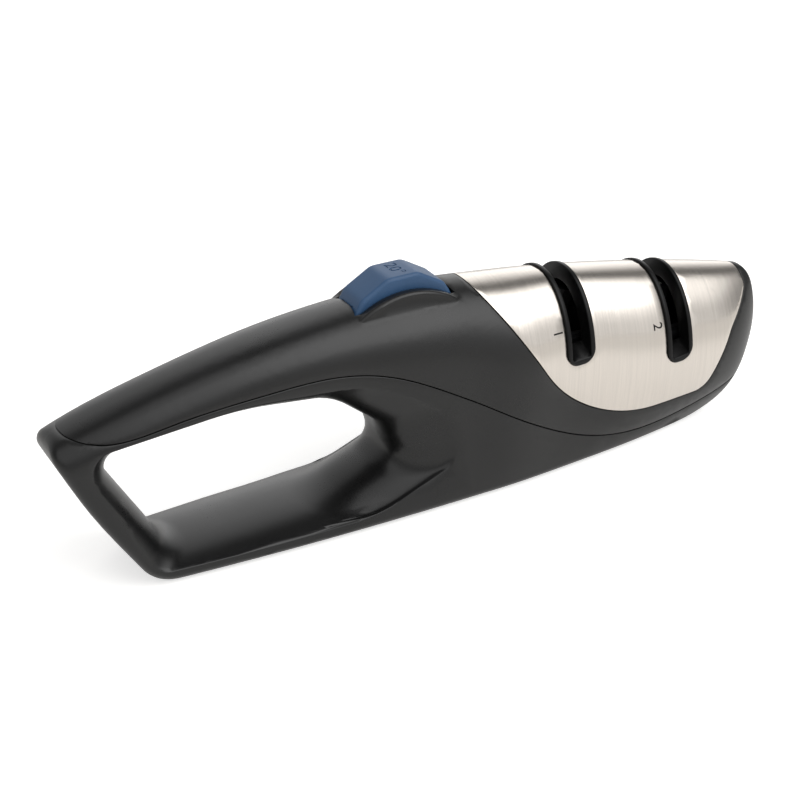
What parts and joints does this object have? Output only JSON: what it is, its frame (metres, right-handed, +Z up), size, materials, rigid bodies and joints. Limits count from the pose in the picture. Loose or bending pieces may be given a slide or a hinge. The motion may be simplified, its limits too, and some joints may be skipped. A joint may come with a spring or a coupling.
{
  "type": "manual knife sharpener",
  "caption": "Hand-held pull-through knife sharpener with a looped handle, a steel-covered nose with coarse and fine slots, and a dial that swings the abrasive arms to the sharpening angle.",
  "frame": {"origin": "middle of the bounding box, on the plane of the rubber pads' undersides", "axes": "+X from the handle's tail to the nose, +Y across the body along the knife slots, +Z up"},
  "size_m": [0.239, 0.0406, 0.0741],
  "materials": {
    "black_plastic": "satin",
    "slot_plastic": "satin",
    "brushed_steel": "brushed across the nose",
    "blue_plastic": "satin",
    "gear_plastic": "moulded",
    "arm_plastic": "moulded",
    "plated_steel": "blackened",
    "pin_steel": "blackened",
    "screw_steel": "plated",
    "diamond_plate": "fine grit",
    "ceramic": "fired, unglazed",
    "pad_rubber": "matte"
  },
  "bodies": {
    "casing": {"lower_casing": "black_plastic", "upper_casing": "black_plastic", "steel_cover": "brushed_steel", "coarse_slot_guide": "slot_plastic", "fine_slot_guide": "slot_plastic", "inner_frame": "plated_steel", "frame_screws": "screw_steel", "casing_screws": "screw_steel", "dial_axle": "pin_steel", "detent_spring": "plated_steel", "spring_screw": "screw_steel", "coarse_pivot_pin": "pin_steel", "fine_pivot_pin": "pin_steel", "front_pad": "pad_rubber", "rear_pad": "pad_rubber"},
    "dial": {"angle_dial": "blue_plastic", "dial_pinion": "gear_plastic", "detent_wheel": "gear_plastic"},
    "slide": {"slide_bar": "gear_plastic"},
    "coarse_rear": {"coarse_arm_rear": "arm_plastic", "coarse_stone_rear": "diamond_plate", "coarse_drive_pin_rear": "pin_steel"},
    "coarse_front": {"coarse_arm_front": "arm_plastic", "coarse_stone_front": "diamond_plate", "coarse_drive_pin_front": "pin_steel"},
    "fine_rear": {"fine_arm_rear": "arm_plastic", "fine_rod_rear": "ceramic", "fine_drive_pin_rear": "pin_steel"},
    "fine_front": {"fine_arm_front": "arm_plastic", "fine_rod_front": "ceramic", "fine_drive_pin_front": "pin_steel"}
  },
  "joints": [
    {"name": "dial_turn", "type": "hinge", "parent": "casing", "child": "dial", "pos_m": [-0.0115, 0, 0.0554], "axis": [0, 1, 0], "range_deg": [-90, 60], "deforming": ["detent_spring"]},
    {"name": "bar_slide", "type": "slide", "parent": "casing", "child": "slide", "axis": [1, 0, 0], "range_m": [-0.00504, 0.00755]},
    {"name": "coarse_rear_swing", "type": "hinge", "parent": "casing", "child": "coarse_rear", "pos_m": [0.0435, 0, 0.03909], "axis": [0, 1, 0], "range_deg": [-4.01, 6.01]},
    {"name": "coarse_front_swing", "type": "hinge", "parent": "casing", "child": "coarse_front", "pos_m": [0.0435, 0, 0.03909], "axis": [0, 1, 0], "range_deg": [-6.01, 4.01]},
    {"name": "fine_rear_swing", "type": "hinge", "parent": "casing", "child": "fine_rear", "pos_m": [0.0815, 0, 0.03238], "axis": [0, 1, 0], "range_deg": [-4.01, 6.01]},
    {"name": "fine_front_swing", "type": "hinge", "parent": "casing", "child": "fine_front", "pos_m": [0.0815, 0, 0.03238], "axis": [0, 1, 0], "range_deg": [-6.01, 4.01]}
  ],
  "couplings": [
    {"joint": "bar_slide", "follows": "dial_turn", "m_per_rad": -0.0048},
    {"joint": "coarse_rear_swing", "follows": "dial_turn", "ratio": -0.066667},
    {"joint": "coarse_front_swing", "follows": "dial_turn", "ratio": 0.066667},
    {"joint": "fine_rear_swing", "follows": "dial_turn", "ratio": -0.066667},
    {"joint": "fine_front_swing", "follows": "dial_turn", "ratio": 0.066667}
  ]
}
